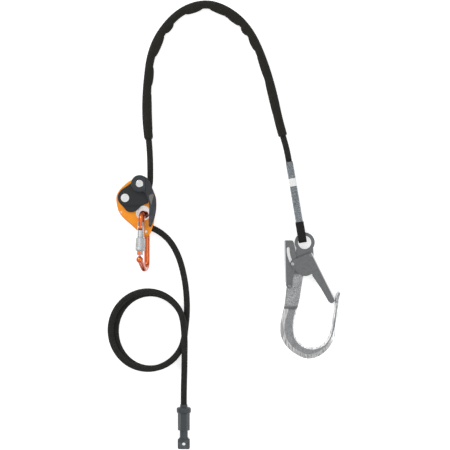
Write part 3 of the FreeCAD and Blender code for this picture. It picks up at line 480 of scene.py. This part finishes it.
@dataclass(frozen=True)
class Textile:
    """Woven or braided tube, laid along the swept mesh's own line."""

    name: str
    yarn: Colour
    gap: Colour
    fleck: Colour
    weave: Weave
    around: int
    pitch: float
    depth: float

    def material(self) -> bpy.types.Material:
        """Builds the material."""
        graph = Graph(self.name)
        lay = graph.node("ShaderNodeAttribute", {}, attribute_name="lay").part("Vector")
        split = graph.node("ShaderNodeSeparateXYZ", {0: lay})
        turn = split.part(2).math("ARCTAN2", split.part(1)) * (self.around / TURN)
        lift = split.part(0) / self.pitch
        first, second = (lift + turn, lift - turn) if self.weave is Weave.BRAID else (lift, turn)
        over = (first.math("FLOOR") + second.math("FLOOR")) % 2.0
        one = ((first % 1.0) * math.pi).math("SINE")
        two = ((second % 1.0) * math.pi).math("SINE")
        height = over * one * (two * 0.4 + 0.6) + (1 - over) * two * (one * 0.4 + 0.6)
        fibre = graph.noise((0.4 * MM, 0.4 * MM, 0.4 * MM), 3.0)
        cloud = graph.noise((7 * MM, 7 * MM, 7 * MM))
        colour = graph.blend(height.span(0.1, 0.85), self.gap, self.yarn)
        colour = graph.blend(fibre.span(0.5, 0.75) * cloud.span(0.3, 0.7) * 0.5, colour, self.fleck)
        return graph.finish(
            Base_Color=colour, Roughness=fibre * 0.1 + 0.78, Specular_IOR_Level=0.12,
            Normal=graph.bump(height + fibre * 0.25, self.depth, 0.9),
        )


@dataclass(frozen=True)
class Webbing:
    """Tight braid over a sewn CAD part, its yarns crossing on the diagonals seen from above."""

    name: str
    yarn: Colour
    gap: Colour
    fleck: Colour
    pitch: float

    def material(self) -> bpy.types.Material:
        """Builds the material."""
        graph = Graph(self.name)
        split = graph.node("ShaderNodeSeparateXYZ", {0: graph.place()})
        across = split.part(0) + split.part(2)
        along = split.part(1)
        one = ((along + across) * (math.pi / self.pitch)).math("SINE").math("ABSOLUTE")
        two = ((along - across) * (math.pi / self.pitch)).math("SINE").math("ABSOLUTE")
        height = one.math("MINIMUM", two)
        fibre = graph.noise((0.5 * MM, 0.5 * MM, 0.5 * MM), 3.0)
        colour = graph.blend(height.span(0.1, 0.7), self.gap, self.yarn)
        colour = graph.blend(fibre.span(0.5, 0.75) * 0.4, colour, self.fleck)
        return graph.finish(
            Base_Color=colour, Roughness=fibre * 0.1 + 0.78, Specular_IOR_Level=0.12,
            Normal=graph.bump(height + fibre * 0.25, 0.4 * MM, 0.9),
        )


@dataclass(frozen=True)
class ClearTube:
    """Clear heat-shrink tube, slightly milky and faintly wrinkled."""

    name: str
    tint: Colour
    clear: float
    milky: Colour = srgb(205, 212, 218)

    def material(self) -> bpy.types.Material:
        """Builds the material."""
        graph = Graph(self.name)
        wrinkle = graph.noise((5 * MM, 1.6 * MM, 5 * MM), 2.0)
        milk = wrinkle.span(0.35, 0.7)
        return graph.finish(
            Base_Color=graph.blend(milk * 0.4, self.tint, self.milky), Roughness=wrinkle * 0.1 + 0.08,
            Alpha=milk * 0.1 + self.clear, Coat_Weight=0.6, Normal=graph.bump(wrinkle, 0.25 * MM, 0.6),
        )


@dataclass(frozen=True)
class Film:
    """White printed film with rows of faint grey marks."""

    name: str
    white: Colour
    ink: Colour
    row: float = 2.6 * MM

    def material(self) -> bpy.types.Material:
        """Builds the material."""
        graph = Graph(self.name)
        split = graph.node("ShaderNodeSeparateXYZ", {0: graph.place()})
        rows = ((split.part(1) / self.row) % 1.0 - 0.5).math("ABSOLUTE").span(0.3, 0.36)
        marks = graph.noise((1.1 * MM, 5 * MM, 5 * MM), 1.0).span(0.5, 0.56)
        crease = graph.noise((4 * MM, 4 * MM, 4 * MM))
        return graph.finish(
            Base_Color=graph.blend(rows * marks * 0.4, self.white, self.ink), Roughness=crease * 0.1 + 0.3,
            Coat_Weight=0.4, Normal=graph.bump(crease, 0.2 * MM, 0.5),
        )


# The anodised finishes: flat faces as lit from above, then the painted shade for edges and sides.
ORANGE = Anodised("orange_satin", srgb(255, 158, 38), srgb(196, 84, 22), 0.36, 0.25)
COPPER = Anodised("copper_gloss", srgb(236, 112, 44), srgb(170, 56, 14), 0.17, 0.8, 0.6 * MM)
BLACK_ARM = Satin("black_coat", srgb(24, 26, 27), srgb(84, 88, 92), 0.3, 0.5 * MM)
HANDLE_BLACK = Satin("handle_moulding", srgb(38, 41, 45), srgb(88, 92, 98), 0.36, 0.45 * MM)
INSERT_GREY = Satin(
    "insert_moulding", srgb(100, 96, 92), srgb(140, 136, 131), 0.46, 0.4 * MM
)
STOP_GREY = Satin("end_stop_moulding", srgb(58, 62, 66), srgb(98, 102, 106), 0.45, 0.5 * MM)
CORE_BLACK = Satin("stitched_splice", srgb(60, 66, 70), srgb(120, 130, 138), 0.7, 0.7 * MM)
STEEL_WIRE = Wire("spring_wire", srgb(190, 192, 196), srgb(120, 122, 126), 0.3)
ZINC_PLATE = Wire("zinc_plate", srgb(128, 130, 131), srgb(98, 100, 101), 0.45)
ALLOY_GATE = Wire("alloy_gate", srgb(216, 217, 219), srgb(178, 180, 183), 0.3)
ROPE_BRAID = Textile(
    "rope_braid", srgb(52, 52, 50), srgb(14, 14, 13), srgb(98, 96, 90),
    Weave.BRAID, 16, 2.6 * MM, 0.5 * MM,
)
EYE_BRAID = Webbing("eye_braid", srgb(46, 46, 45), srgb(12, 12, 12), srgb(88, 86, 82), 3.2 * MM)
SLEEVE_CLOTH = Textile(
    "sleeve_cloth", srgb(48, 47, 43), srgb(20, 20, 18), srgb(84, 80, 70),
    Weave.PLAIN, 64, 0.9 * MM, 0.18 * MM,
)
SHRINK_CLEAR = ClearTube("shrink_clear", srgb(112, 122, 130), 0.42)
LABEL_FILM = Film("label_film", srgb(238, 238, 238), srgb(120, 122, 126))


def paint(names: tuple[str, ...], material: bpy.types.Material) -> None:
    """Gives CAD nodes a material.

    Args:
        names: the CAD nodes.
        material: their finish.
    """
    for name in names:
        mesh = bpy.data.objects[name].data
        mesh.materials.clear()
        mesh.materials.append(material)
        log.info("%s: %s", name, material.name)


# ---- swept meshes --------------------------------------------------------------------------------
def spline_points(name: str, route: list[Vector], resolution: int = 24) -> list[Vector]:
    """Points along the smooth line of a route.

    Args:
        name: name of the working curve.
        route: control points of the NURBS spline.
        resolution: points per control point.

    Returns:
        The spline's own points, in order.
    """
    curve = bpy.data.curves.new(name, "CURVE")
    curve.dimensions = "3D"
    spline = curve.splines.new("NURBS")
    spline.points.add(len(route) - 1)
    for point, place in zip(spline.points, route):
        point.co = (*place, 1.0)
    spline.order_u = 3
    spline.use_endpoint_u = True
    spline.resolution_u = resolution
    carrier = bpy.data.objects.new(name, curve)
    mesh = bpy.data.meshes.new_from_object(carrier)
    points = [vertex.co.copy() for vertex in mesh.vertices]
    bpy.data.meshes.remove(mesh)
    bpy.data.objects.remove(carrier)
    bpy.data.curves.remove(curve)
    return points


@dataclass
class Line:
    """A smooth line and how far along it each point is."""

    points: list[Vector]

    def __post_init__(self) -> None:
        """Adds up the distances along the line."""
        self.reach = [0.0]
        for before, after in zip(self.points, self.points[1:]):
            self.reach.append(self.reach[-1] + (after - before).length)

    @property
    def length(self) -> float:
        """Length of the whole line."""
        return self.reach[-1]

    def cut(self, start: float, end: float) -> "Line":
        """The part of the line between two distances along it."""
        kept = [p for p, far in zip(self.points, self.reach) if start <= far <= end]
        return Line(kept)

    def side(self, index: int) -> tuple[Vector, Vector]:
        """Level direction to the right of travel, and the one that stands on both, at a point."""
        before = self.points[max(index - 1, 0)]
        after = self.points[min(index + 1, len(self.points) - 1)]
        travel = (after - before).normalized()
        right = travel.cross(Vector((0, 0, 1))).normalized()
        return right, right.cross(travel)


def swept(
    name: str, line: Line, radius: Callable[[float, float], float], sides: int
) -> bpy.types.Object:
    """Mesh tube round a line, closed at its ends.

    Args:
        name: name of the piece.
        line: the tube's centreline.
        radius: radius at a distance along the line and an angle from its right side.
        sides: faces round the tube.

    Returns:
        The new object.
    """
    places: list[Vector] = []
    lay: list[float] = []
    for index, (centre, far) in enumerate(zip(line.points, line.reach)):
        right, up = line.side(index)
        for step in range(sides):
            angle = TURN * step / sides
            out = right * math.cos(angle) + up * math.sin(angle)
            places.append(centre + out * radius(far, angle))
            lay += [far, math.cos(angle), math.sin(angle)]
    rings = len(line.points)
    faces = [
        (row * sides + step, row * sides + (step + 1) % sides,
         (row + 1) * sides + (step + 1) % sides, (row + 1) * sides + step)
        for row in range(rings - 1) for step in range(sides)
    ]
    faces.append(tuple(reversed(range(sides))))
    faces.append(tuple(range((rings - 1) * sides, rings * sides)))
    mesh = bpy.data.meshes.new(name)
    mesh.from_pydata(places, [], faces)
    mesh.attributes.new("lay", "FLOAT_VECTOR", "POINT").data.foreach_set("vector", lay)
    mesh.shade_smooth()
    piece = bpy.data.objects.new(name, mesh)
    bpy.context.scene.collection.objects.link(piece)
    return piece


# ---- rope ----------------------------------------------------------------------------------------
ROPE_DIAMETER = 11 * MM
ROPE_PARTING = (-141.3, 161.0, 20.45)
TO_HOOK = [
    ROPE_PARTING, (-141.3, 181.0, 20.45), (-142.6, 208.0, 12.4), (-145.0, 234.0, 9.8),
    (-148.0, 266.0, 9.8), (-148.4, 303.0, 9.8), (-146.0, 340.0, 9.8), (-141.4, 375.0, 9.8),
    (-130.6, 407.0, 9.8), (-112.0, 435.0, 9.8), (-90.0, 457.0, 9.8), (-63.0, 470.6, 9.8),
    (-35.0, 473.2, 9.8), (-8.0, 464.0, 9.8), (18.0, 446.0, 9.8), (39.0, 421.0, 9.8),
    (54.0, 390.0, 9.8), (68.0, 350.0, 9.8), (80.6, 305.0, 9.8), (89.0, 266.0, 9.8),
    (97.4, 235.0, 9.8), (104.7, 210.7, 6.4), (108.4, 189.0, 6.4),
]
TO_COIL = [
    ROPE_PARTING, (-141.3, 142.6, 20.45), (-157.6, 120.6, 20.45), (-172.5, 104.3, 20.45),
    (-173.2, 92.0, 20.45), (-166.8, 81.6, 20.45), (-150.0, 75.4, 20.45), (-124.5, 64.2, 19.0),
    (-104.5, 46.0, 14.0), (-89.5, 17.0, 8.0), (-80.5, -18.0, 5.6), (-76.4, -50.0, 5.5),
    (-75.6, -80.0, 5.5), (-77.6, -104.0, 5.5),
]
OVER_THE_TURNS = [(-79.2, -130.0, 27.8), (-79.7, -150.0, 25.6)]
TO_END_STOP = [
    (-80.2, -177.0, 11.6), (-81.0, -204.0, 8.6), (-81.4, -227.0, 13.0), (-81.4, -247.5, 13.0),
]


@dataclass(frozen=True)
class Turn:
    """One turn of the coil, an ellipse lying level."""

    centre: tuple[float, float]
    radii: tuple[float, float]


LOWER_TURN = Turn((-141.8, -115.6), (62.3, 67.5))
UPPER_TURN = Turn((-146.0, -113.4), (66.9, 69.7))
COIL_STEPS = 16
COIL_SWELL = 1.0196
FLOOR_LEVEL = 5.5
LAYER = 11.1


def smooth(value: float, low: float, high: float) -> float:
    """0 at low and below, 1 at high and above, smooth between them."""
    share = min(max((value - low) / (high - low), 0.0), 1.0)
    return share * share * (3 - 2 * share)


def coil_height(degrees: float) -> float:
    """Height of the coil's line, which climbs a layer before each pass over the tail."""
    climbs = smooth(degrees, 285, 345) + smooth(degrees, 642, 705)
    return FLOOR_LEVEL + LAYER * climbs


def coil_route() -> list[tuple[float, float, float]]:
    """Control points of the two turns, clockwise from the right, in millimetres."""
    points = []
    for step in range(1, 2 * COIL_STEPS):
        degrees = 360 * step / COIL_STEPS
        angle = math.radians(degrees)
        share = smooth(degrees, 240, 470)
        centre = Vector(LOWER_TURN.centre).lerp(Vector(UPPER_TURN.centre), share)
        radii = Vector(LOWER_TURN.radii).lerp(Vector(UPPER_TURN.radii), share) * COIL_SWELL
        points.append((
            centre.x + radii.x * math.cos(angle),
            centre.y - radii.y * math.sin(angle),
            coil_height(degrees),
        ))
    return points


def metres(route: list[tuple[float, float, float]]) -> list[Vector]:
    """A route in millimetres as vectors in metres."""
    return [Vector(point) * MM for point in route]


@dataclass(frozen=True)
class Pucker:
    """Fullness of the sleeve between two pinches, on the inside of the bend."""

    at: float
    reach: float
    depth: float


SLEEVE_START = 70 * MM
SLEEVE_END = 658 * MM
SLEEVE_RADIUS = 8.1 * MM
PUCKERS = (
    Pucker(118, 34, 1.2), Pucker(184, 17, 2.8), Pucker(242, 21, 4.2), Pucker(281, 11, 3.6),
    Pucker(340, 17, 4.6), Pucker(391, 19, 4.0), Pucker(422, 16, 4.2), Pucker(453, 9, 3.8),
    Pucker(481, 13, 2.6), Pucker(526, 20, 1.4), Pucker(585, 30, 1.0),
)


def sleeve_radius(far: float, angle: float) -> float:
    """Radius of the sleeve: full and smooth outside, pinched and puckered inside its bend."""
    place = (far + SLEEVE_START) / MM
    inner = max(math.cos(angle), 0.0)
    full = 0.0
    for pucker in PUCKERS:
        near = max(1 - ((place - pucker.at) / pucker.reach) ** 2, 0.0)
        full += pucker.depth * near ** 0.6
    bend = smooth(place, 130, 200) * (1 - smooth(place, 500, 600))
    pinch = -1.4 * bend
    top = max(math.sin(angle), 0.0) * (0.5 * math.sin(place / 13) + 0.35 * math.sin(place / 5.2 + 1))
    ridge = 0.25 * math.sin(3 * angle + place / 23) * (1 - inner)
    hem = 1.2 * (smooth(far, 0.004, 0.0) + smooth(far, SLEEVE_END - SLEEVE_START - 0.004,
                                                   SLEEVE_END - SLEEVE_START))
    return SLEEVE_RADIUS + (inner ** 1.5 * (full + pinch) + top * (0.4 + inner) + ridge - hem) * MM


class Rope:
    """The rope in its two runs, and the sleeve on the run to the hook."""

    ROPE_SIDES = 20
    SLEEVE_SIDES = 40
    HOOK_RUN_LENGTH = 0.706
    TAIL_LENGTH = 1.30

    def __init__(self) -> None:
        """Makes the braid that both runs share."""
        self.braid = ROPE_BRAID.material()

    def piece(self, name: str, line: Line, nodes: tuple[str, ...]) -> bpy.types.Object:
        """A run of rope in place of its CAD solids."""
        made = swept(name, line, lambda far, angle: ROPE_DIAMETER / 2, self.ROPE_SIDES)
        made.data.materials.append(self.braid)
        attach(made, "grab_frame")
        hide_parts(*nodes)
        return made

    def build(self) -> None:
        upper = Line(spline_points("to_hook_route", metres(TO_HOOK)))
        hook_run = self.piece("rope_hook_run", upper, ("rope_to_hook",))
        covered = upper.cut(SLEEVE_START, SLEEVE_END)
        sleeve = swept("sleeve", covered, sleeve_radius, self.SLEEVE_SIDES)
        sleeve.data.materials.append(SLEEVE_CLOTH.material())
        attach(sleeve, "grab_frame")
        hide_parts("protective_sleeve")
        route = TO_COIL + coil_route() + OVER_THE_TURNS + TO_END_STOP
        lower = Line(spline_points("tail_route", metres(route)))
        tail = self.piece("rope_tail", lower, ("rope_to_coil", "rope_coil", "rope_to_end_stop"))
        log.info("rope runs: %.3f m and %.3f m", upper.length, lower.length)


# ---- finishes on the CAD parts -------------------------------------------------------------------
def centre_of(name: str) -> tuple[float, float]:
    """Middle of a CAD node, seen from above."""
    low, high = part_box(name)
    middle = (low + high) / 2
    return middle.x, middle.y


def turned(name: str, node: str, colour: Colour, roughness: float) -> bpy.types.Material:
    """Turned metal with its rings about a node's own middle, and painted shade on its upright walls."""
    return Bright(name, colour, roughness, centre_of(node), srgb(128, 130, 134)).material()


SILVER = srgb(236, 237, 238)


class Grab:
    """The rope grab's frame, brake arm and handle."""

    def dress(self) -> None:
        """Gives the CAD parts their finishes."""
        paint(("front_plate", "rear_plate"), ORANGE.material())
        paint(("front_arm", "rear_arm"), BLACK_ARM.material())
        paint(("release_handle",), HANDLE_BLACK.material())
        paint(("handle_insert",), INSERT_GREY.material())
        # The bush's sloped walls in the hole are painted dark orange: painted shade with a painted
        # reflection of the orange plates.
        bush = Bright(
            "bush_steel", srgb(236, 237, 239), 0.22, centre_of("eye_bush"), srgb(104, 46, 30), 0.72
        )
        paint(("eye_bush",), bush.material())
        paint(("wear_ring",), turned("ring_steel", "wear_ring", srgb(190, 192, 195), 0.3))
        paint(("pivot_rivet",), turned("pivot_steel", "pivot_rivet", srgb(240, 240, 240), 0.34))
        paint(("hub_axle",), turned("hub_steel", "hub_axle", SILVER, 0.2))
        paint(("friction_bobbin",), turned("bobbin_steel", "friction_bobbin", SILVER, 0.28))
        paint(("cam", "cam_pin"), turned("cam_steel", "cam", SILVER, 0.3))
        paint(("plate_rivets", "plate_spacers"), turned("rivet_steel", "plate_rivets", SILVER, 0.24))
        paint(("handle_spring",), STEEL_WIRE.material())


@dataclass(frozen=True)
class Carabiner:
    """The carabiner, its gate and its lock sleeve."""

    joints: list[dict]

    def dress(self) -> None:
        """Gives the CAD parts their finishes."""
        paint(("carabiner_body",), COPPER.material())
        paint(("carabiner_gate", "gate_plunger", "gate_pin", "gate_spring"), ALLOY_GATE.material())
        low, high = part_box("lock_sleeve")
        travel = next(j for j in self.joints if j["name"] == "lock_sleeve_travel")
        axis = Vector(travel["axis"]).normalized()
        knurl = Knurled("lock_knurl", srgb(222, 223, 224), srgb(150, 152, 154), (low + high) / 2, axis)
        paint(("lock_sleeve",), knurl.material())


@dataclass(frozen=True)
class Hook:
    """The hook, its gate, its lever and their rivets. Places are from the middle of its eye."""

    gate_pivot: tuple[float, float] = (10.4 * MM, -23.4 * MM)
    shank_below: float = 56 * MM
    step_below: float = 119 * MM
    # Ends of the painted highlights along the gate's and the lever's bent backs.
    gate_back: tuple[tuple[float, float], tuple[float, float]] = (
        (17.1 * MM, -27.0 * MM), (53.9 * MM, -100.6 * MM)
    )
    lever_back: tuple[tuple[float, float], tuple[float, float]] = (
        (-37.4 * MM, 3.7 * MM), (-35.6 * MM, -72.0 * MM)
    )

    def edge(self, eye: Vector, ends: tuple[tuple[float, float], ...], width: float) -> Edge:
        """A painted highlight line between two places from the eye."""
        start, end = (tuple(eye + Vector(place)) for place in ends)
        return Edge(start, end, width)

    def dress(self) -> None:
        """Gives the CAD parts their finishes."""
        eye = Vector(centre_of("gate_pivot_rivet")) - Vector(self.gate_pivot)
        alloy = Forged(
            "forged_alloy", srgb(172, 173, 175), srgb(116, 117, 119), srgb(112, 114, 116),
            srgb(252, 252, 252), srgb(150, 152, 155), eye.y - self.shank_below, eye.y - self.step_below,
        )
        paint(("hook_body",), alloy.material())
        # The gate and the lever get a painted highlight along their bent backs.
        paint(("hook_gate",), ZINC_PLATE.material(self.edge(eye, self.gate_back, 1.7 * MM)))
        paint(("safety_lever",), ZINC_PLATE.material(self.edge(eye, self.lever_back, 2.2 * MM)))
        grey = srgb(150, 151, 152)
        paint(("gate_pivot_rivet",), turned("gate_rivet_steel", "gate_pivot_rivet", grey, 0.3))
        paint(("lever_rivet",), turned("lever_rivet_steel", "lever_rivet", grey, 0.3))
        paint(("gate_drive_pin",), turned("drive_pin_steel", "gate_drive_pin", srgb(200, 201, 202), 0.3))
        paint(("hook_gate_spring", "lever_spring"), STEEL_WIRE.material())


class RopeEnds:
    """The splice, its eye, its tube and label, and the end stop."""

    def dress(self) -> None:
        """Gives the CAD parts their finishes."""
        paint(("end_stop",), STOP_GREY.material())
        paint(("eye_loop",), EYE_BRAID.material())
        paint(("splice_core",), CORE_BLACK.material())
        paint(("shrink_tube",), SHRINK_CLEAR.material())
        paint(("splice_label",), LABEL_FILM.material())


# ---- studio --------------------------------------------------------------------------------------
@dataclass(frozen=True)
class Softbox:
    """A soft rectangular light that looks at a point on the object."""

    name: str
    place: tuple[float, float, float]
    aim: tuple[float, float, float]
    size: float
    power: float

    def build(self) -> None:
        """Makes the light."""
        light = bpy.data.lights.new(self.name, "AREA")
        light.size = self.size
        light.energy = self.power
        lamp = bpy.data.objects.new(self.name, light)
        lamp.location = self.place
        lamp.rotation_euler = (Vector(self.aim) - Vector(self.place)).to_track_quat("-Z", "Y").to_euler()
        bpy.context.scene.collection.objects.link(lamp)


SOFTBOXES = (
    Softbox("key", (-1.3, 1.4, 1.7), (0.0, 0.05, 0.0), 1.0, 22.0),
    Softbox("fill", (1.5, -0.6, 1.6), (0.0, 0.05, 0.0), 1.2, 9.0),
)
CAMERA_PLACE = (-0.0072, 0.0756, 3.012)
CAMERA_LENS = 133.3
FLOOR_SIZE = 6.0
FLOOR_GLOW = 0.55
HORIZON_STRENGTH = 0.2
ZENITH_STRENGTH = 0.88


def studio_world() -> bpy.types.World:
    """Surroundings that are bright overhead and fade towards the horizon."""
    world = bpy.data.worlds.new("studio")
    world.use_nodes = True
    nodes = world.node_tree.nodes
    links = world.node_tree.links
    direction = nodes.new("ShaderNodeTexCoord")
    split = nodes.new("ShaderNodeSeparateXYZ")
    ramp = nodes.new("ShaderNodeMapRange")
    ramp.interpolation_type = "SMOOTHSTEP"
    for index, value in enumerate((0.1, 0.95, HORIZON_STRENGTH, ZENITH_STRENGTH), 1):
        ramp.inputs[index].default_value = value
    links.new(direction.outputs["Generated"], split.inputs[0])
    links.new(split.outputs["Z"], ramp.inputs["Value"])
    links.new(ramp.outputs["Result"], nodes["Background"].inputs["Strength"])
    nodes["Background"].inputs["Color"].default_value = (1.0, 1.0, 1.0, 1.0)
    return world


def build_studio() -> None:
    """Floor, lights and camera."""
    scene = bpy.context.scene
    half = FLOOR_SIZE / 2
    corners = [(-half, -half, 0), (half, -half, 0), (half, half, 0), (-half, half, 0)]
    mesh = bpy.data.meshes.new("floor")
    mesh.from_pydata(corners, [], [(0, 1, 2, 3)])
    floor = bpy.data.objects.new("floor", mesh)
    scene.collection.objects.link(floor)
    graph = Graph("floor_paper")
    grain = graph.noise((0.4, 0.4, 0.4))
    white = graph.blend(grain * 0.05, srgb(250, 250, 250), srgb(244, 244, 244))
    mesh.materials.append(graph.finish(
        Base_Color=white, Roughness=0.9, Emission_Color=(1.0, 1.0, 1.0), Emission_Strength=FLOOR_GLOW,
    ))
    scene.world = studio_world()
    scene.view_settings.view_transform = "Standard"
    for softbox in SOFTBOXES:
        softbox.build()
    lens = bpy.data.cameras.new("camera")
    lens.lens = CAMERA_LENS
    lens.sensor_width = 36
    camera = bpy.data.objects.new("camera", lens)
    camera.location = CAMERA_PLACE
    scene.collection.objects.link(camera)
    scene.camera = camera


def main() -> None:
    """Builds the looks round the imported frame."""
    logging.basicConfig(level=logging.INFO)
    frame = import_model()
    build_studio()
    Rope().build()
    for assembly in (Grab(), Carabiner(frame["joints"]), Hook(), RopeEnds()):
        assembly.dress()


if __name__ == "__main__":
    main()
